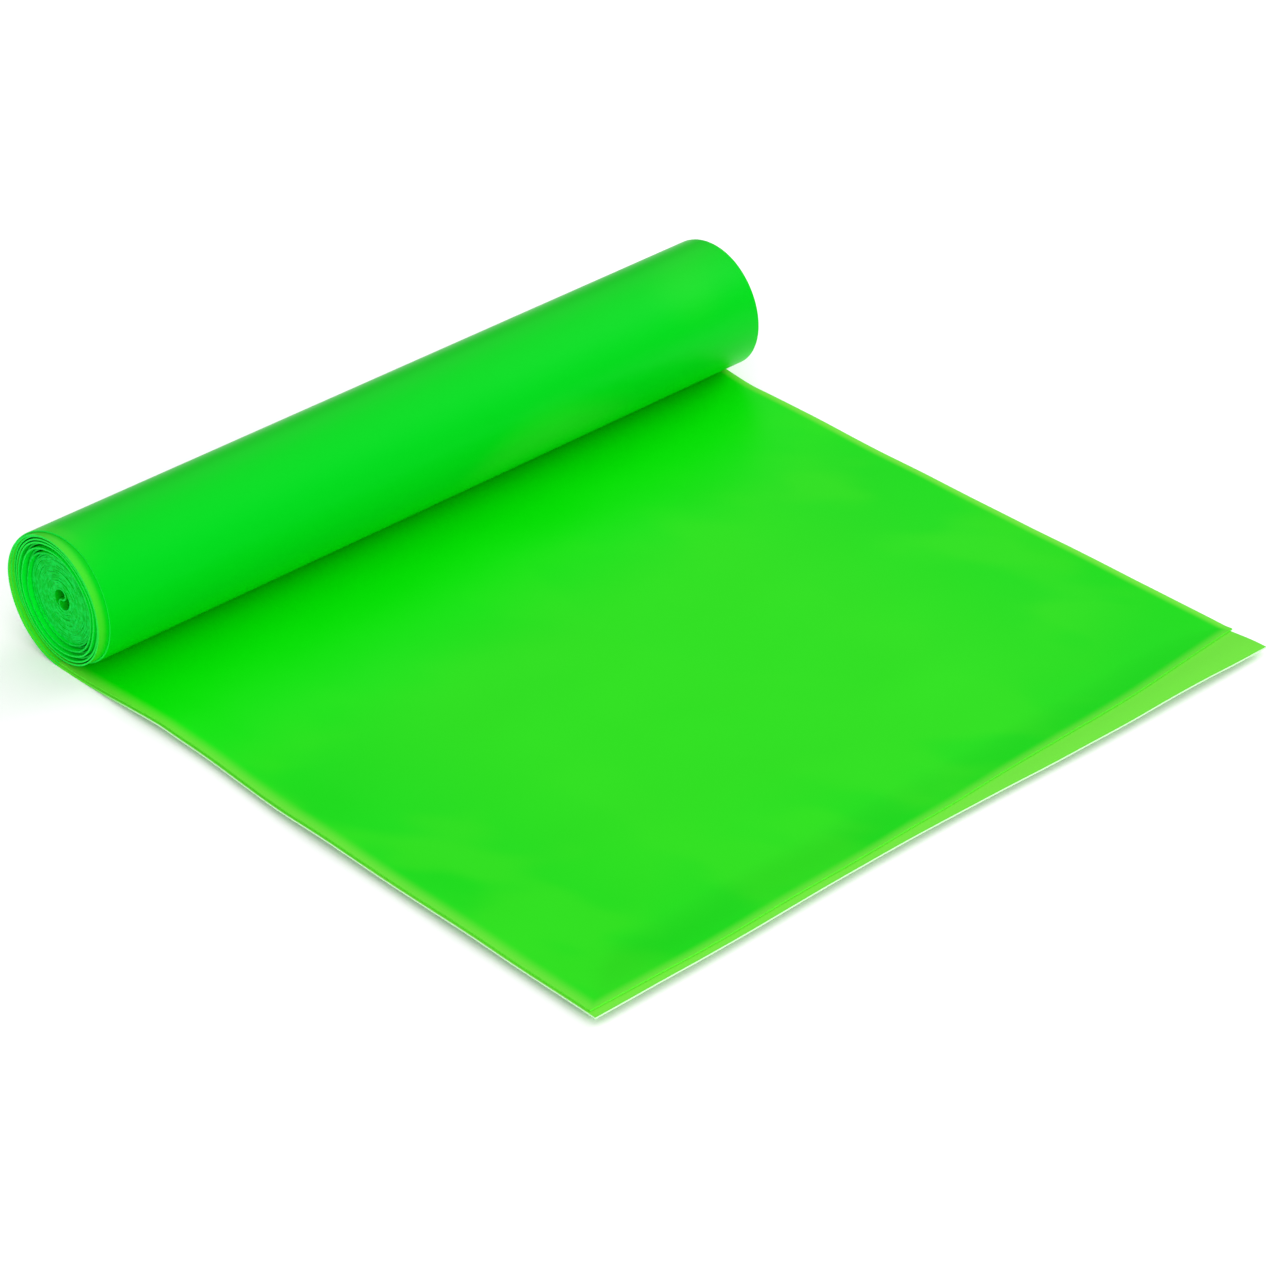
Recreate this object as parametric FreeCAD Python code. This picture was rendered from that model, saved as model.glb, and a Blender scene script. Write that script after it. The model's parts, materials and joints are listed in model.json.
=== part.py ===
import FreeCAD, Part
import math
import os

# Flat latex exercise band, 150 mm wide and 1.5 m long. It is folded at its middle, the fold is wound
# up into a roll, and the last stretch of both halves lies flat on the table, one on the other.
# The band is one strip of rubber. Each solid below is one stretch of it, cut where the strip is
# wound, slides, pulls longer, lifts or peels in use.
#
# Millimetres, +Z up. The origin is on the table under the middle of the whole thing. The roll's
# axis runs along Y, and the flat stretch runs from under the roll towards +X.

# The strip
WIDTH = 150.0
PLY = 0.3
PLY_GAP = 0.03
PLY_STEP = PLY + PLY_GAP

# The roll: heights and radii are those of the strip's middle line
AXIS_HEIGHT = 12.7
CORE_RADIUS = 2.0
TIGHT_RADIUS = 8.15
TIGHT_HALF_TURNS = 19
LOOSE_HALF_TURNS = 6
TURNING_CLEARANCE = 0.3

# How far each stretch of the wound strip stands back from the flat stretch's near edge
OUTER_TURN_SETBACK = 1.6
NEXT_TURN_SETBACK = 0.3
TIGHT_TURN_SETBACK = 1.8

# The flat stretch, from the roll's axis outwards
NIP_END = 14.0
REAR_START = 30.0
REAR_END = 36.0
MID_START = 58.0
LIFT_FOLD = 66.0
PEEL_START = 78.0
PEEL_SPACING = 14.0
PEEL_STRIPS = 4
FREE_END = 136.3
UPPER_END_NEAR = 134.3
UPPER_END_FAR = 128.3

NEAR_EDGE = -WIDTH / 2
FAR_EDGE = WIDTH / 2
LOWER_Z = 0.0
UPPER_Z = PLY_STEP


def crossing_radii():
    """Radii where the strip crosses the upright line through the axis, from the core outwards.

    Both halves share them: one half has the odd ones below the axis, the other the even ones.
    """
    outermost = AXIS_HEIGHT - PLY / 2
    outer = [outermost - PLY_STEP * step for step in (3, 2, 1, 0)]
    roll_edge = outer[0] - PLY - TURNING_CLEARANCE
    tight_step = (TIGHT_RADIUS - CORE_RADIUS) / TIGHT_HALF_TURNS
    loose_step = (roll_edge - TIGHT_RADIUS) / LOOSE_HALF_TURNS
    tight = [CORE_RADIUS + tight_step * step for step in range(TIGHT_HALF_TURNS)]
    loose = [TIGHT_RADIUS + loose_step * step for step in range(LOOSE_HALF_TURNS + 1)]
    return tight + loose + outer


RADII = crossing_radii()
LAST = len(RADII) - 1
ROLL_LEFT = (RADII[LAST] + RADII[LAST - 1] + PLY) / 2
ROLL_X = (ROLL_LEFT - FREE_END) / 2


def point(x, z, y=0.0):
    return FreeCAD.Vector(ROLL_X + x, y, z)


def half_turn(start_z, end_z, side, offset):
    """One half circle between two heights on the upright line, moved sideways by offset.

    side is +1 on the flat stretch's side of the axis and -1 on the other side.
    """
    middle = (start_z + end_z) / 2
    radius = abs(end_z - start_z) / 2 + offset
    way = 1 if end_z > start_z else -1
    return Part.Arc(
        point(0, middle - way * radius),
        point(side * radius, middle),
        point(0, middle + way * radius),
    ).toShape()


def wound_arcs(half, first, last, offset):
    """The half circles of one half of the band, from one crossing to another, going outwards."""
    arcs = []
    for index in range(first, last):
        starts_below = (index % 2 == 1) == (half == "lower")
        way = -1 if starts_below else 1
        arcs.append(half_turn(AXIS_HEIGHT + way * RADII[index],
                              AXIS_HEIGHT - way * RADII[index + 1],
                              -way, offset))
    return arcs


def core_arcs(offset):
    """The S at the band's middle: two small half circles that meet on the axis."""
    lower = half_turn(AXIS_HEIGHT - CORE_RADIUS, AXIS_HEIGHT, -1, -offset)
    upper = half_turn(AXIS_HEIGHT, AXIS_HEIGHT + CORE_RADIUS, 1, offset)
    return [lower, upper]


def across(outer_edges, inner_edges, near, far):
    """A solid between two chains of edges that run the same way, as wide as near to far."""
    ends = []
    for place in (0, -1):
        outer_tip = outer_edges[place].Vertexes[place].Point
        inner_tip = inner_edges[place].Vertexes[place].Point
        ends.append(Part.LineSegment(outer_tip, inner_tip).toShape())
    wire = Part.Wire(Part.__sortEdges__(outer_edges + inner_edges + ends))
    face = Part.Face(wire)
    face.translate(FreeCAD.Vector(0, near, 0))
    return face.extrude(FreeCAD.Vector(0, far - near, 0))


def wound(half, first, last, setback):
    """A wound stretch of one half of the band."""
    return across(wound_arcs(half, first, last, PLY / 2),
                  wound_arcs(half, first, last, -PLY / 2),
                  NEAR_EDGE + setback, FAR_EDGE)


def outer_turn(half, first, last, bottom_z):
    """The outermost turn of one half, and the flat run under the roll that it ends in."""
    turn = wound(half, first, last, OUTER_TURN_SETBACK)
    return turn.fuse(straight(0.0, NIP_END, bottom_z))


def flat(start, end_near, end_far, bottom_z):
    """A flat stretch of one ply. Its end may be cut at a slant."""
    corners = [
        point(start, bottom_z, NEAR_EDGE),
        point(end_near, bottom_z, NEAR_EDGE),
        point(end_far, bottom_z, FAR_EDGE),
        point(start, bottom_z, FAR_EDGE),
    ]
    outline = Part.makePolygon(corners + corners[:1])
    return Part.Face(outline).extrude(FreeCAD.Vector(0, 0, PLY))


def straight(start, end, bottom_z):
    return flat(start, end, end, bottom_z)


def make_core():
    return across(core_arcs(PLY / 2), core_arcs(-PLY / 2), NEAR_EDGE + TIGHT_TURN_SETBACK, FAR_EDGE)


def make_roll():
    """The part of the roll that turns, and the turn of each half that pays out first."""
    tight = TIGHT_HALF_TURNS
    loose = TIGHT_HALF_TURNS + LOOSE_HALF_TURNS
    return {
        "middle_fold": make_core(),
        "lower_tight_turns": wound("lower", 0, tight, TIGHT_TURN_SETBACK),
        "upper_tight_turns": wound("upper", 0, tight - 1, TIGHT_TURN_SETBACK),
        "lower_loose_turns": wound("lower", tight, loose, NEXT_TURN_SETBACK),
        "upper_loose_turns": wound("upper", tight - 1, loose - 1, NEXT_TURN_SETBACK),
        "lower_next_turn": wound("lower", loose, LAST - 2, NEXT_TURN_SETBACK),
        "upper_next_turn": wound("upper", loose - 1, LAST - 3, NEXT_TURN_SETBACK),
        "lower_outer_turn": outer_turn("lower", LAST - 2, LAST, LOWER_Z),
        "upper_outer_turn": outer_turn("upper", LAST - 3, LAST - 1, UPPER_Z),
    }


def make_free_stretch():
    """Both plies of the flat stretch, in the strips that slide, stretch, lift and peel."""
    strips = {}
    for half, z in (("lower", LOWER_Z), ("upper", UPPER_Z)):
        strips[half + "_payout_strip"] = straight(NIP_END, REAR_START, z)
        strips[half + "_rear_strip"] = straight(REAR_START, REAR_END, z)
        strips[half + "_stretch_strip"] = straight(REAR_END, MID_START, z)
        strips[half + "_mid_strip"] = straight(MID_START, LIFT_FOLD, z)
    strips["lower_grip_end"] = straight(LIFT_FOLD, FREE_END, LOWER_Z)
    strips["upper_lift_strip"] = straight(LIFT_FOLD, PEEL_START, UPPER_Z)
    for number in range(1, PEEL_STRIPS):
        start = PEEL_START + (number - 1) * PEEL_SPACING
        strips["upper_peel_strip_%d" % number] = straight(start, start + PEEL_SPACING, UPPER_Z)
    last_start = PEEL_START + (PEEL_STRIPS - 1) * PEEL_SPACING
    strips["upper_grip_end"] = flat(last_start, UPPER_END_NEAR, UPPER_END_FAR, UPPER_Z)
    return strips


def half_length(half, last, free):
    """Length of one half of the band along its middle line, from the axis to its free end."""
    wound_part = sum(edge.Length for edge in wound_arcs(half, 0, last, 0.0))
    return math.pi * CORE_RADIUS / 2 + wound_part + free


def main():
    solids = make_roll()
    solids.update(make_free_stretch())
    for name, solid in solids.items():
        solid.exportStep("parts/%s.step" % name)
    upper_free = (UPPER_END_NEAR + UPPER_END_FAR) / 2
    length = half_length("lower", LAST, FREE_END) + half_length("upper", LAST - 1, upper_free)
    volume = sum(solid.Volume for solid in solids.values())
    print("solids %d, band length %.0f mm, volume %.1f cm3" % (len(solids), length, volume / 1000))
    print("roll axis at x %.2f mm, height %.2f mm" % (ROLL_X, AXIS_HEIGHT))
    print("roll height %.2f mm, turning radius %.3f mm"
          % (AXIS_HEIGHT + RADII[LAST - 1] + PLY / 2, RADII[LAST - 4]))


main()
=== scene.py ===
import json
import math

import bpy
from mathutils import Matrix, Vector


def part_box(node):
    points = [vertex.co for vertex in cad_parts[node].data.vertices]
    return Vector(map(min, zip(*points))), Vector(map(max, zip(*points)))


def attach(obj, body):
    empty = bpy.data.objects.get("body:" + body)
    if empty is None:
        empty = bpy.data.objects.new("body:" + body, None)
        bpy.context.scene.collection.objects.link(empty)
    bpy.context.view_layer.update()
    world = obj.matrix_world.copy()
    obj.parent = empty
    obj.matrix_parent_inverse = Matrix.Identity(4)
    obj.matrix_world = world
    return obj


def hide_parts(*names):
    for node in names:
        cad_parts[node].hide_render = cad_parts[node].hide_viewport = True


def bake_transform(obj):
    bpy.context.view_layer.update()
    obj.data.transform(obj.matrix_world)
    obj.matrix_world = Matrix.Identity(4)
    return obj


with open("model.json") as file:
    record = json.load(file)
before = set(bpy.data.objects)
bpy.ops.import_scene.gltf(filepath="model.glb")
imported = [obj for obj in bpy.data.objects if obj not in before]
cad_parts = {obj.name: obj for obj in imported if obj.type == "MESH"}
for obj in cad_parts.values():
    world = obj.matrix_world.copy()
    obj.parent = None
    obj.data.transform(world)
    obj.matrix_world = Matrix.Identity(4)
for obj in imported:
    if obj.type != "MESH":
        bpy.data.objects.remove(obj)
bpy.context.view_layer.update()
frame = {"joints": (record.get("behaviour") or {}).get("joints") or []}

scene = bpy.context.scene
MM = 0.001
PI = math.pi

# ---------------------------------------------------------------- places and sizes, from the frame

JOINTS = {joint["name"]: joint for joint in frame["joints"]}
AXIS_X = JOINTS["roll_turn"]["pos_m"][0]
AXIS_Z = JOINTS["roll_turn"]["pos_m"][2]


def box_low(node):
    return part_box(node)[0]


def box_high(node):
    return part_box(node)[1]


PLY = box_high("lower_grip_end").z
PLY_STEP = box_low("upper_grip_end").z
HALF_WIDTH = box_high("lower_grip_end").y
WIDTH = 2 * HALF_WIDTH

# Where the flat stretch is divided, lifts and peels, and where its two plies end
PULL_X = box_low("lower_stretch_strip").x
LIFT_X = box_low("lower_grip_end").x
PEEL_STRIPS = ("upper_peel_strip_1", "upper_peel_strip_2", "upper_peel_strip_3", "upper_grip_end")
PEEL_X = [box_low(node).x for node in PEEL_STRIPS]
FREE_X = box_high("lower_grip_end").x
UPPER_NEAR_X = box_high("upper_grip_end").x

# How much further back the upper ply ends at the far edge than at the near one
UPPER_SLANT = -6.0 * MM

# Radius of the strip's middle line where the winding's pitch changes
LAST_RADIUS = AXIS_Z - PLY / 2
ROLL_END_RADIUS = AXIS_Z - box_low("lower_loose_turns").z - PLY / 2
TIGHT_RADIUS = AXIS_Z - box_low("lower_tight_turns").z - PLY / 2
CORE_RADIUS = box_high("middle_fold").z - PLY / 2 - AXIS_Z

# Half turns from the core to the end of the tight disc, to the end of the part that turns, to the
# first turn that stays still, and to where each half leaves the roll
TIGHT_HALF_TURNS = 19
ROLL_HALF_TURNS = 25
STEP_HALF_TURNS = 26
LOWER_HALF_TURNS = 29
UPPER_HALF_TURNS = 28

# The winding: half turns counted from the core, and the radius there
WINDING = (
    (0, CORE_RADIUS),
    (TIGHT_HALF_TURNS, TIGHT_RADIUS),
    (ROLL_HALF_TURNS, ROLL_END_RADIUS),
    (STEP_HALF_TURNS, LAST_RADIUS - PLY_STEP * (LOWER_HALF_TURNS - STEP_HALF_TURNS)),
    (LOWER_HALF_TURNS, LAST_RADIUS),
)

# The strip's path is measured in radians of turning from the middle of the band. The first half
# turn is the S at the core. Past the roll it is straight, and each radian is RUN long.
RUN = 12.5 * MM
LOWER_EXIT = PI * (LOWER_HALF_TURNS + 1)
UPPER_EXIT = PI * (UPPER_HALF_TURNS + 1)

# The halves don't lie quite edge on edge: the lower one shows at the near side, the upper at the far
PLY_SHIFT = 0.4 * MM

# How wide the lifted edges of the flat stretch are, and how far they spread past its flat outline
LIFTED_EDGE = 13.0 * MM
EDGE_SPREAD = 1.1 * MM


def along(half, x):
    """Path place of the point on the flat run at x in the frame."""
    run = (x - AXIS_X) / RUN
    return LOWER_EXIT + run if half == "lower" else -(UPPER_EXIT + run)


def wound_length(first, last):
    """Length of strip in the winding between two half turns."""
    length = 0.0
    for (start, inner), (end, outer) in zip(WINDING, WINDING[1:]):
        low, high = max(start, first), min(end, last)
        if high > low:
            middle = ((low + high) / 2 - start) / (end - start)
            length += PI * (high - low) * (inner + (outer - inner) * middle)
    return length


# ---------------------------------------------------------------- camera

AZIMUTH = math.radians(48.49)
ELEVATION = math.radians(32.51)
CAMERA_ROLL = math.radians(-1.163)
CAMERA_DISTANCE = 0.8374
CAMERA_LENS = 140.1
SENSOR_WIDTH = 36.0
AIM_FROM_ROLL = 70.0 * MM
AIM_LEFT = 4.512 * MM
AIM_UP = 3.888 * MM


def make_camera():
    data = bpy.data.cameras.new("camera")
    data.lens = CAMERA_LENS
    data.sensor_width = SENSOR_WIDTH
    camera = bpy.data.objects.new("camera", data)
    scene.collection.objects.link(camera)
    back = Vector((math.sin(AZIMUTH) * math.cos(ELEVATION),
                   -math.cos(AZIMUTH) * math.cos(ELEVATION),
                   math.sin(ELEVATION)))
    level = back.to_track_quat("Z", "Y").to_matrix()
    turned = level @ Matrix.Rotation(CAMERA_ROLL, 3, "Z")
    right, up = turned.col[0], turned.col[1]
    target = Vector((AXIS_X + AIM_FROM_ROLL, 0.0, 0.0)) - right * AIM_LEFT + up * AIM_UP
    camera.matrix_world = Matrix.Translation(target + back * CAMERA_DISTANCE) @ turned.to_4x4()
    scene.camera = camera


make_camera()

# ---------------------------------------------------------------- sums written as nodes


class Term:
    """A number in a node tree. Sums of terms make the math nodes that work them out."""

    def __init__(self, tree, socket):
        self.tree = tree
        self.socket = socket

    def maths(self, operation, *others):
        node = self.tree.nodes.new("ShaderNodeMath")
        node.operation = operation
        for socket, value in zip(node.inputs, (self, *others)):
            put(self.tree, socket, value)
        return Term(self.tree, node.outputs[0])

    def __add__(self, other):
        return self.maths("ADD", other)

    def __sub__(self, other):
        return self.maths("SUBTRACT", other)

    def __rsub__(self, other):
        return (self * -1.0) + other

    def __mul__(self, other):
        return self.maths("MULTIPLY", other)

    def __truediv__(self, other):
        return self.maths("DIVIDE", other)

    def __abs__(self):
        return self.maths("ABSOLUTE")

    def sin(self):
        return self.maths("SINE")

    def cos(self):
        return self.maths("COSINE")

    def sign(self):
        return self.maths("SIGN")

    def above(self, other):
        return self.maths("GREATER_THAN", other)

    def at_least(self, other):
        return self.maths("MAXIMUM", other)

    def at_most(self, other):
        return self.maths("MINIMUM", other)

    def ramp(self, start, end, low=0.0, high=1.0):
        """low before start, high after end, and a straight climb between them."""
        return self.mapped("LINEAR", start, end, low, high)

    def ease(self, start, end, low=0.0, high=1.0):
        """low before start, high after end, and a smooth climb between them."""
        return self.mapped("SMOOTHSTEP", start, end, low, high)

    def hill(self, start, top, fall, end):
        """0 before start and after end, 1 from top to fall."""
        return self.ease(start, top) * self.ease(fall, end, 1.0, 0.0)

    def mapped(self, kind, start, end, low, high):
        node = self.tree.nodes.new("ShaderNodeMapRange")
        node.interpolation_type = kind
        for socket, value in zip(node.inputs, (self, start, end, low, high)):
            put(self.tree, socket, value)
        return Term(self.tree, node.outputs[0])


def put(tree, socket, value):
    """A term or a socket is linked, and a plain number or colour is set."""
    if isinstance(value, Term):
        tree.links.new(value.socket, socket)
    elif isinstance(value, bpy.types.NodeSocket):
        tree.links.new(value, socket)
    else:
        socket.default_value = value


def vector(tree, x, y, z):
    node = tree.nodes.new("ShaderNodeCombineXYZ")
    for socket, value in zip(node.inputs, (x, y, z)):
        put(tree, socket, value)
    return node.outputs[0]


def parts(tree, socket):
    node = tree.nodes.new("ShaderNodeSeparateXYZ")
    tree.links.new(socket, node.inputs[0])
    return [Term(tree, output) for output in node.outputs]


def noise(tree, place, scale, detail=2.0):
    """Soft noise from 0 to 1 about a place, a vector."""
    node = tree.nodes.new("ShaderNodeTexNoise")
    put(tree, node.inputs["Vector"], place)
    node.inputs["Scale"].default_value = scale
    node.inputs["Detail"].default_value = detail
    return Term(tree, node.outputs[0])


# ---------------------------------------------------------------- the strip's shape

STRIP_INPUTS = (
    ("Start", "NodeSocketFloat", 0.0),
    ("End", "NodeSocketFloat", 1.0),
    ("End slant", "NodeSocketFloat", 0.0),
    ("Pieces along", "NodeSocketInt", 100),
    ("Pieces across", "NodeSocketInt", 60),
)


def wound_radius(turned):
    """Radius of the strip's middle line, from the radians turned since the S."""
    radius = CORE_RADIUS
    for (start, inner), (end, outer) in zip(WINDING, WINDING[1:]):
        radius = turned.ramp(PI * start, PI * end, 0.0, outer - inner) + radius
    return radius


def loose_share(turns):
    """1 in the loose turns between the tight disc and the turns that stay still, 0 outside them."""
    return turns.hill(TIGHT_HALF_TURNS - 1.0, TIGHT_HALF_TURNS + 1.5,
                      ROLL_HALF_TURNS - 1.2, ROLL_HALF_TURNS)


def near_setback(tree, turns, lower):
    """How far the near edge of the wound strip stands back from the flat stretch's near edge."""
    tight = turns.ramp(TIGHT_HALF_TURNS - 1.0, TIGHT_HALF_TURNS + 3.0, 2.1 * MM, 0.9 * MM)
    uneven = noise(tree, vector(tree, turns, 0.0, 0.0), 1.7) - 0.5
    inside = turns.ease(ROLL_HALF_TURNS, ROLL_HALF_TURNS - 2.0)
    outermost = turns.ease(26.6, 27.0, 0.0, 2.0 * MM)
    leaving = turns.ease(27.8, 28.5, 0.0, -2.9 * MM)
    upper_loose = loose_share(turns) * 0.9 * MM
    upper_last = turns.ease(25.5, 28.0, 0.0, PLY_SHIFT - 0.9 * MM)
    wobble = uneven * inside * 0.6 * MM
    return tight + wobble + lower * (outermost + leaving) + (1.0 - lower) * (upper_loose + upper_last)


def flat_wave(tree, x, y, run):
    """How high the flat stretch stands off the table: low waves, and edges that lift a little."""
    place = vector(tree, x, y, 0.0)
    waves = noise(tree, place, 28.0, 1.0).ease(0.35, 0.75, 0.0, 0.40 * MM)
    near = y.ease(-HALF_WIDTH + LIFTED_EDGE, -HALF_WIDTH)
    free = x.ease(FREE_X - LIFTED_EDGE, FREE_X)
    far = y.ease(HALF_WIDTH - 8.0 * MM, HALF_WIDTH, 0.0, 0.25)
    edge = near.at_least(free).at_least(far) * (noise(tree, place, 17.0, 1.0) * 0.6 + 0.85) * MM
    return (waves + edge) * run.ease(4.0 * MM, 30.0 * MM)


def stored(tree, geometry, name, kind, domain, value):
    """The geometry with a value kept on it, for the materials to read."""
    node = tree.nodes.new("GeometryNodeStoreNamedAttribute")
    node.data_type = kind
    node.domain = domain
    node.inputs["Name"].default_value = name
    tree.links.new(geometry, node.inputs["Geometry"])
    put(tree, node.inputs["Value"], value)
    return node.outputs["Geometry"]


def painted(tree, geometry, material, where=True):
    node = tree.nodes.new("GeometryNodeSetMaterial")
    node.inputs["Material"].default_value = material
    tree.links.new(geometry, node.inputs["Geometry"])
    put(tree, node.inputs["Selection"], where)
    return node.outputs["Geometry"]


def strip_tree(flat_material, wound_material):
    """A tree that makes any stretch of the strip, wound or flat, between two places on its path."""
    tree = bpy.data.node_groups.new("Stretch of strip", "GeometryNodeTree")
    for name, kind, default in STRIP_INPUTS:
        socket = tree.interface.new_socket(name=name, in_out="INPUT", socket_type=kind)
        socket.default_value = default
    tree.interface.new_socket(name="Geometry", in_out="OUTPUT", socket_type="NodeSocketGeometry")
    new = tree.nodes.new
    link = tree.links.new
    given = new("NodeGroupInput")
    start, end, slant = (Term(tree, given.outputs[name]) for name in ("Start", "End", "End slant"))

    # A closed block with a fine grid on both faces: x along the strip, y across it, z through it.
    # Its grid is closer near both edges.
    block = new("GeometryNodeMeshCube")
    block.inputs["Size"].default_value = (1.0, 1.0, 1.0)
    block.inputs["Vertices Z"].default_value = 2
    put(tree, block.inputs["Vertices X"], Term(tree, given.outputs["Pieces along"]))
    put(tree, block.inputs["Vertices Y"], Term(tree, given.outputs["Pieces across"]))
    x, y, z = parts(tree, new("GeometryNodeInputPosition").outputs[0])
    even = y + 0.5
    across = even * 0.3 + even.ease(0.0, 1.0) * 0.7
    place = start + (end + slant * across - start) * (x + 0.5)

    # The path: a spiral of two arms about the axis, then a straight run
    half = place.sign()
    lower = place.above(0.0)
    size = abs(place)
    exit_place = half.ramp(-1.0, 1.0, UPPER_EXIT, LOWER_EXIT)
    turn = size.at_most(exit_place)
    turns = turn / PI - 1.0
    run = (size - exit_place).at_least(0.0) * RUN
    past_core = size.above(PI)
    heading = turn - PI / 2
    pairing = half * loose_share(turns) * -0.03 * MM
    ripple = (heading * 6.0).sin() * loose_share(turns) * across.ease(0.0, 0.06, 0.08 * MM, 0.0)
    wound = wound_radius((turn - PI).at_least(0.0)) + pairing + ripple
    radius = past_core * wound + (1.0 - past_core) * (CORE_RADIUS / 2)
    centre = (1.0 - past_core) * (CORE_RADIUS / 2)
    cosine, sine = heading.cos(), heading.sin()
    path_x = half * (radius * cosine - run * sine)
    path_z = half * (centre + radius * sine + run * cosine)
    sunk = turns.ease(TIGHT_HALF_TURNS, ROLL_HALF_TURNS, 1.0, 0.0)
    depth = z * -PLY

    # The near edge of the wound part stands back and takes the far edge with it a little way
    back = near_setback(tree, turns, lower)
    near = back - HALF_WIDTH - run.ease(7.0 * MM, 26.0 * MM, 0.0, EDGE_SPREAD)
    far = back * 0.35 + HALF_WIDTH - lower * 0.3 * MM

    # Past the roll both long edges are drawn in a little, and come out again towards the free end
    near_run = run.hill(6.0 * MM, 29.0 * MM, 36.0 * MM, 66.0 * MM)
    far_run = run.ease(1.0 * MM, 14.0 * MM) * run.ramp(45.0 * MM, 125.0 * MM, 1.0, 0.0)
    near_pull = near_run * across.ease(0.0, 0.2, 1.2 * MM, 0.0)
    far_pull = far_run * across.ease(0.8, 1.0, 0.0, 1.1 * MM)
    place_y = near + across * (far - near) + near_pull - far_pull

    # The free edges aren't quite straight: both draw in near the middle, and the upper one also bows out
    free = run.ease(LIFT_X - AXIS_X, FREE_X - AXIS_X)
    hollow = place_y.hill(-58.0 * MM, -12.0 * MM, -2.0 * MM, 42.0 * MM) * -0.9 * MM
    long_bow = place_y.hill(-90.0 * MM, -40.0 * MM, 48.0 * MM, 77.0 * MM) * 1.9 * MM
    short_bow = place_y.hill(-45.0 * MM, -12.0 * MM, 0.0, 25.0 * MM) * 1.0 * MM
    bowed = (long_bow + short_bow) * (1.0 - lower)
    flat_x = path_x + AXIS_X + free * (hollow + EDGE_SPREAD + bowed)
    rise = flat_wave(tree, flat_x, place_y, run)
    moved = vector(
        tree,
        flat_x + cosine * depth - sunk * 0.1 * MM,
        place_y,
        path_z + sine * depth + AXIS_Z + rise - sunk * 0.35 * MM,
    )

    # The cut edges are the sides of the block, and each point keeps its place on the strip
    facing = parts(tree, new("GeometryNodeInputNormal").outputs[0])[2]
    side = 1.0 - abs(facing).above(0.5)
    strip_place = vector(tree, place, across, z + 0.5)
    geometry = stored(tree, block.outputs["Mesh"], "strip", "FLOAT_VECTOR", "POINT", strip_place)
    geometry = stored(tree, geometry, "cut_edge", "FLOAT", "FACE", side)
    shape = new("GeometryNodeSetPosition")
    link(geometry, shape.inputs["Geometry"])
    link(moved, shape.inputs["Position"])
    smooth = new("GeometryNodeSetShadeSmooth")
    link(shape.outputs["Geometry"], smooth.inputs["Geometry"])
    real = new("GeometryNodeRealizeInstances")
    link(smooth.outputs["Geometry"], real.inputs["Geometry"])

    # The part that is wound has a finish of its own
    named = new("GeometryNodeInputNamedAttribute")
    named.data_type = "FLOAT_VECTOR"
    named.inputs["Name"].default_value = "strip"
    kept_place = parts(tree, named.outputs[0])[0]
    in_roll = kept_place.above(-UPPER_EXIT) * (1.0 - kept_place.above(LOWER_EXIT))
    geometry = painted(tree, real.outputs["Geometry"], flat_material)
    geometry = painted(tree, geometry, wound_material, in_roll)
    link(geometry, new("NodeGroupOutput").inputs["Geometry"])
    return tree


def make_stretch(name, tree, start, end, pieces_along, pieces_across, slant=0.0):
    """One stretch of the strip as a plain mesh, from one place on its path to another."""
    maker = bpy.data.objects.new(name + "_maker", bpy.data.meshes.new(name))
    scene.collection.objects.link(maker)
    modifier = maker.modifiers.new("strip", "NODES")
    modifier.node_group = tree
    values = (start, end, slant, pieces_along, pieces_across)
    sockets = [item for item in tree.interface.items_tree if item.in_out == "INPUT"]
    for socket, value in zip(sockets, values):
        modifier[socket.identifier] = value
    bpy.context.view_layer.update()
    seen = maker.evaluated_get(bpy.context.evaluated_depsgraph_get())
    mesh = bpy.data.meshes.new_from_object(seen)
    mesh.set_sharp_from_angle(angle=math.radians(40.0))
    bpy.data.objects.remove(maker)
    piece = bpy.data.objects.new(name, mesh)
    scene.collection.objects.link(piece)
    return piece


# ---------------------------------------------------------------- the latex

# The flat stretch: where two plies lie together, with painted dim reflections, by the roll, painted purer
# green as light bounced off it, and where one ply shows
TWO_PLIES = (0.012, 0.570, 0.001, 1.0)
TWO_PLIES_DIM_REFLECTION = (0.000, 0.550, 0.000, 1.0)
ROLL_BOUNCE_GREEN = (0.000, 0.600, 0.000, 1.0)
ONE_PLY = (0.125, 0.610, 0.033, 1.0)

# The roll: its side, a painted highlight on it, painted light low down it and inside its loose turns, and
# the disc of edges round its core
WOUND = (0.000, 0.490, 0.005, 1.0)
WOUND_HIGHLIGHT = (0.014, 0.520, 0.012, 1.0)
WOUND_LOW_LIT = (0.000, 0.650, 0.002, 1.0)
WOUND_LOOSE_LIT = (0.000, 0.720, 0.022, 1.0)
DISC = (0.000, 0.500, 0.020, 1.0)
DISC_PALE = (0.004, 0.640, 0.060, 1.0)

# The strip's cut edges: the lower ply's is painted pale as a highlight
WOUND_EDGE = (0.010, 0.700, 0.050, 1.0)
LOWER_EDGE_HIGHLIGHT = (0.500, 0.780, 0.460, 1.0)
UPPER_EDGE = (0.100, 0.720, 0.030, 1.0)


def mixed(tree, share, first, second):
    """The first colour where share is 0, and the second where it is 1."""
    node = tree.nodes.new("ShaderNodeMix")
    node.data_type = "RGBA"
    factor, colour_a, colour_b = node.inputs[0], node.inputs[6], node.inputs[7]
    put(tree, factor, share)
    put(tree, colour_a, first)
    put(tree, colour_b, second)
    return node.outputs[2]


def attribute(tree, name, output):
    node = tree.nodes.new("ShaderNodeAttribute")
    node.attribute_name = name
    return node.outputs[output]


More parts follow.
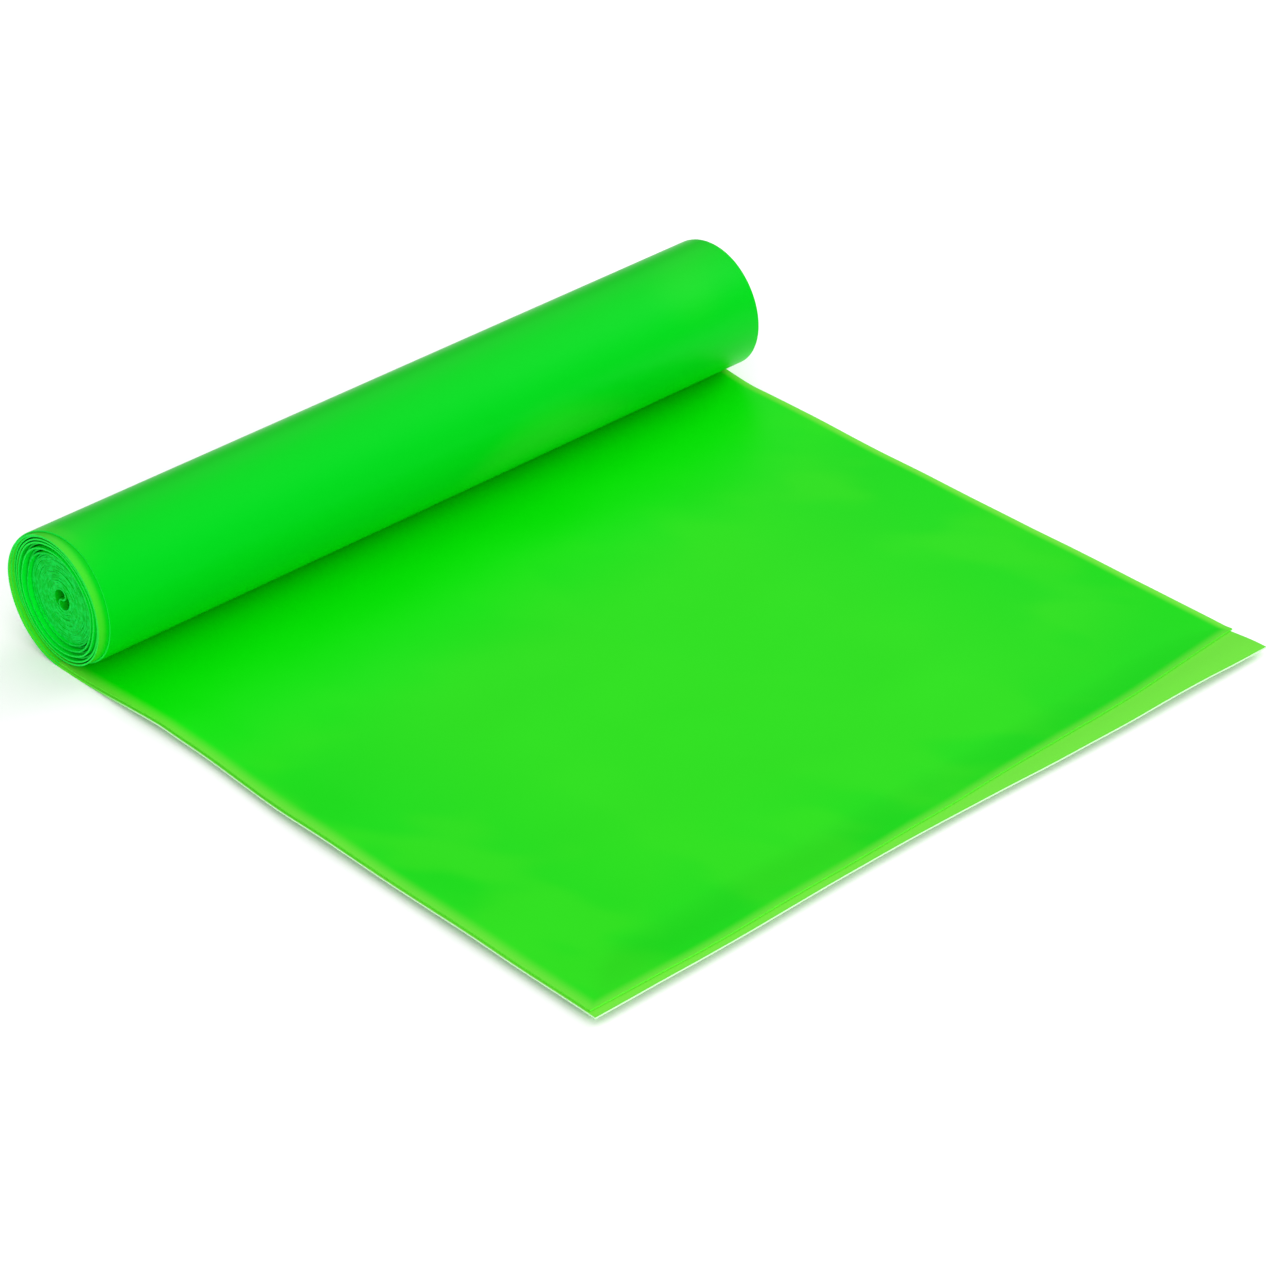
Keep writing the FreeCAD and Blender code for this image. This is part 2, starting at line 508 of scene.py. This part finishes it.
def start_latex(name):
    """A new finish, and what it reads: the spot in space, the place along, across and through the
    strip, and whether it is on a cut edge."""
    material = bpy.data.materials.new(name)
    material.use_nodes = True
    tree = material.node_tree
    spot = tree.nodes.new("ShaderNodeTexCoord").outputs["Object"]
    strip = parts(tree, attribute(tree, "strip", "Vector"))
    cut = Term(tree, attribute(tree, "cut_edge", "Fac"))
    return material, tree, spot, strip, cut


def finish_latex(tree, spot, colour, cut, tint):
    """The satin skin that both latex finishes share, with the faint pebble of dipped latex."""
    shader = tree.nodes["Principled BSDF"]
    put(tree, shader.inputs["Base Color"], colour)
    put(tree, shader.inputs["Roughness"], noise(tree, spot, 60.0) * 0.10 + cut * 0.3 + 0.34)
    shader.inputs["Specular IOR Level"].default_value = 0.12
    shader.inputs["Specular Tint"].default_value = tint
    bump = tree.nodes.new("ShaderNodeBump")
    bump.inputs["Strength"].default_value = 0.12
    bump.inputs["Distance"].default_value = 0.02 * MM
    put(tree, bump.inputs["Height"], noise(tree, spot, 900.0))
    put(tree, shader.inputs["Normal"], bump.outputs["Normal"])


def flat_latex():
    """The flat stretch: deep where two plies lie together, pale where one shows past the other. Dim
    reflections, bounced light by the roll and a highlight on the lower cut edge are painted in.
    """
    material, tree, spot, strip, cut = start_latex("flat latex")
    place, across, through = strip
    lower = place.above(0.0)
    upper = 1.0 - lower
    top = lower * through.above(0.5) + upper * (1.0 - through.above(0.5))
    x, y = parts(tree, spot)[:2]
    from_near = across * WIDTH
    from_far = (1.0 - across) * WIDTH
    upper_x = (abs(place) - UPPER_EXIT) * RUN + AXIS_X
    from_upper_end = across * UPPER_SLANT + UPPER_NEAR_X - upper_x

    # Painted dim reflections: cloudy deeper-green patches towards the borders and in the far corner
    border = (abs(x - 18.0 * MM) / (58.0 * MM)).at_least(abs(y) / HALF_WIDTH).ease(0.40, 0.95)
    streaks = vector(tree, x + y * 0.5, (y - x * 0.5) * 1.8, 0.0)
    dim_reflection_clouds = noise(tree, streaks, 24.0, 2.0).ease(0.60, 0.45) * (border * 0.9 + 0.1)
    far_corner_reflection = ((x - 60.0 * MM) / (14.0 * MM) + (y - 62.0 * MM) / (24.0 * MM)).ease(-1.6, 0.2)
    # Painted bounced light: purer, slightly brighter green by the roll, where its shade falls on the flat
    # stretch
    roll_bounce = (x + y * 0.12).ease(-8.0 * MM, -38.0 * MM)
    two = mixed(tree, dim_reflection_clouds.at_least(far_corner_reflection), TWO_PLIES, TWO_PLIES_DIM_REFLECTION)
    two = mixed(tree, roll_bounce, two, ROLL_BOUNCE_GREEN)

    # One ply: past the upper ply's end, along both sides, and wherever peeling would bare it
    past_upper = (x - across * UPPER_SLANT - UPPER_NEAR_X).ease(-0.5 * MM, 0.7 * MM)
    near_band = from_near.ease(0.0, 2.8 * MM, 0.8, 0.0)
    far_band = from_far.ease(0.4 * MM, 1.8 * MM, 1.0, 0.0)
    free_band = from_upper_end.ease(0.0, 2.0 * MM, 0.7, 0.0)
    bared = x.ease(PEEL_X[0] - 2.0 * MM, PEEL_X[0] + 6.0 * MM)
    lower_single = near_band.at_least(past_upper).at_least(bared * top) * lower
    upper_single = far_band.at_least(near_band).at_least(free_band).at_least(bared * (1.0 - top)) * upper
    skin = mixed(tree, lower_single + upper_single, two, ONE_PLY)
    # Painted highlight: the lower ply's cut edge past the roll is painted pale, as if it caught the light
    edge_highlight = lower * x.ease(AXIS_X + 6.0 * MM, AXIS_X + 26.0 * MM)
    edge = mixed(tree, edge_highlight, UPPER_EDGE, LOWER_EDGE_HIGHLIGHT)
    finish_latex(tree, spot, mixed(tree, cut, skin, edge), cut, (1.0, 1.0, 0.7, 1.0))
    return material


def wound_latex():
    """The roll: deeper green, paler where a turn stands out alone, with a grainy disc of edges, painted
    highlight patches, and painted light low down and in the loose turns.
    """
    material, tree, spot, strip, cut = start_latex("wound latex")
    place, across = strip[:2]
    lower = place.above(0.0)
    upper = 1.0 - lower
    turns = abs(place) / PI - 1.0
    from_near = across * WIDTH

    # Pale where the near edge of a turn stands past its neighbours, or leaves the roll
    standing_out = from_near.ease(0.5 * MM, 1.9 * MM, 0.36, 0.0) * turns.ease(24.5, 25.5) * upper
    leaving = from_near.ease(0.5 * MM, 3.2 * MM, 0.60, 0.0) * turns.ease(27.8, 28.5) * lower
    # Painted light: the loose turns near the near edge are lit up against the shade in their gaps
    loose = turns.hill(TIGHT_HALF_TURNS - 1.0, TIGHT_HALF_TURNS, ROLL_HALF_TURNS, ROLL_HALF_TURNS + 1.0)

    # The ends of the roll: a grainy disc of tight edges, and clear ones round it
    grain = noise(tree, spot, 1500.0, 3.0).ease(0.35, 0.65)
    disc = mixed(tree, grain, DISC, DISC_PALE)
    edge = mixed(tree, turns.ease(TIGHT_HALF_TURNS, ROLL_HALF_TURNS), disc, WOUND_EDGE)

    # The skin: painted soft highlight patches, painted light low down against the shade by the nip, and
    # painted light inside the loose turns against the shade between them
    highlight_patches = noise(tree, spot, 20.0, 1.0).ease(0.48, 0.66)
    low_light = parts(tree, spot)[2].ease(11.0 * MM, 2.0 * MM)
    skin = mixed(tree, highlight_patches, WOUND, WOUND_HIGHLIGHT)
    skin = mixed(tree, low_light, skin, WOUND_LOW_LIT)
    skin = mixed(tree, loose * from_near.ease(0.0, 8.0 * MM, 1.0, 0.0), skin, WOUND_LOOSE_LIT)
    skin = mixed(tree, standing_out + leaving, skin, ONE_PLY)
    finish_latex(tree, spot, mixed(tree, cut, skin, edge), cut, (0.1, 1.0, 0.9, 1.0))
    return material


# ---------------------------------------------------------------- the band

STRIP = strip_tree(flat_latex(), wound_latex())

# Points of the grid across the strip and along each stretch of it
ACROSS = 60
ACROSS_ROLL = 22
ALONG_ROLL = 1700
ALONG_WRAP = 360
ALONG_PULL = 40
ALONG_LOWER_END = 80
ALONG_UPPER_END = 36


def bend(piece):
    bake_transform(piece)


def make_roll():
    """The middle fold and every turn that the roll takes round with it."""
    start, end = -PI * ROLL_HALF_TURNS, PI * (ROLL_HALF_TURNS + 1)
    piece = make_stretch("wound_turns", STRIP, start, end, ALONG_ROLL, ACROSS_ROLL)
    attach(piece, "roll")
    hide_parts("middle_fold", "lower_tight_turns", "upper_tight_turns",
                "lower_loose_turns", "upper_loose_turns")
    length = PI * CORE_RADIUS
    length += wound_length(0, ROLL_HALF_TURNS) + wound_length(0, ROLL_HALF_TURNS - 1)


def make_half(half):
    """The stretches of one half outside the part that turns, from the roll outwards."""
    turn_in, first, last = PI * (ROLL_HALF_TURNS + 1), ROLL_HALF_TURNS, LOWER_HALF_TURNS
    if half == "upper":
        turn_in, first, last = -PI * ROLL_HALF_TURNS, ROLL_HALF_TURNS - 1, UPPER_HALF_TURNS
    pull_in, lift_in = along(half, PULL_X), along(half, LIFT_X)
    wrap = make_stretch(half + "_wrap", STRIP, turn_in, pull_in, ALONG_WRAP, ACROSS)
    bend(wrap)
    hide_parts(half + "_next_turn", half + "_outer_turn",
                half + "_payout_strip", half + "_rear_strip")
    wound_length(first, last) + PULL_X - AXIS_X
    pull = make_stretch(half + "_pull", STRIP, pull_in, lift_in, ALONG_PULL, ACROSS)
    bend(pull)
    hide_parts(half + "_stretch_strip", half + "_mid_strip")


def make_lower_end():
    start, end = along("lower", LIFT_X), along("lower", FREE_X)
    piece = make_stretch("lower_end", STRIP, start, end, ALONG_LOWER_END, ACROSS)
    bend(piece)
    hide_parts("lower_grip_end")


def make_upper_end():
    """The upper ply past the lift fold, one piece to each of its strips in the part.

    Where the ply lies on the lower one, a piece starts at its strip's line. The last three pieces
    start a little short of their lines.
    """
    reach = 3.9 * MM
    cuts = [LIFT_X, PEEL_X[0], *(x - reach for x in PEEL_X[1:]), UPPER_NEAR_X]
    for number, node in enumerate(("upper_lift_strip", *PEEL_STRIPS)):
        start, end = cuts[number], cuts[number + 1]
        slant = -UPPER_SLANT / RUN if node == PEEL_STRIPS[-1] else 0.0
        name = "upper_end_%d" % (number + 1)
        places = along("upper", start), along("upper", end)
        piece = make_stretch(name, STRIP, *places, ALONG_UPPER_END, ACROSS, slant)
        bend(piece)
        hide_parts(node)
        end - start - slant * RUN / 2


# ---------------------------------------------------------------- floor and light

FLOOR_REACH = 4.0
FLOOR_Z = -0.05 * MM
FLOOR_COLOUR = (0.94, 0.93, 0.94, 1.0)
HORIZON = (0.10, 0.12, 0.13, 1.0)
CEILING = (1.0, 1.0, 1.0, 1.0)


def make_floor():
    mesh = bpy.data.meshes.new("floor")
    corners = [(-1, -1), (1, -1), (1, 1), (-1, 1)]
    mesh.from_pydata([(x * FLOOR_REACH, y * FLOOR_REACH, FLOOR_Z) for x, y in corners], [], [(0, 1, 2, 3)])
    floor = bpy.data.objects.new("floor", mesh)
    scene.collection.objects.link(floor)
    material = bpy.data.materials.new("pale floor")
    material.use_nodes = True
    shader = material.node_tree.nodes["Principled BSDF"]
    shader.inputs["Base Color"].default_value = FLOOR_COLOUR
    shader.inputs["Roughness"].default_value = 0.9
    shader.inputs["Specular IOR Level"].default_value = 0.0
    mesh.materials.append(material)


def make_light(name, direction, distance, width, height, power):
    """A soft box that faces the middle of the band."""
    data = bpy.data.lights.new(name, "AREA")
    data.shape = "RECTANGLE"
    data.size = width
    data.size_y = height
    data.energy = power
    lamp = bpy.data.objects.new(name, data)
    scene.collection.objects.link(lamp)
    way = Vector(direction).normalized()
    facing = way.to_track_quat("Z", "Y").to_matrix().to_4x4()
    lamp.matrix_world = Matrix.Translation(way * distance) @ facing


def make_world():
    """White overhead and darker near the horizon, as in a studio with a lit ceiling."""
    world = bpy.data.worlds.new("studio")
    scene.world = world
    world.use_nodes = True
    tree = world.node_tree
    background = tree.nodes["Background"]
    up = parts(tree, tree.nodes.new("ShaderNodeTexCoord").outputs["Generated"])[2]
    colour = mixed(tree, up.ease(0.20, 0.65), HORIZON, CEILING)
    put(tree, background.inputs["Color"], colour)
    background.inputs["Strength"].default_value = 1.04


make_roll()
make_half("lower")
make_half("upper")
make_lower_end()
make_upper_end()
make_floor()
make_world()
make_light("far_side", (0.0, 0.92, 0.39), 1.4, 0.7, 0.7, 10.0)
make_light("near_side", (0.85, -0.45, 0.36), 1.4, 2.2, 0.95, 20.0)
scene.view_settings.view_transform = "Standard"
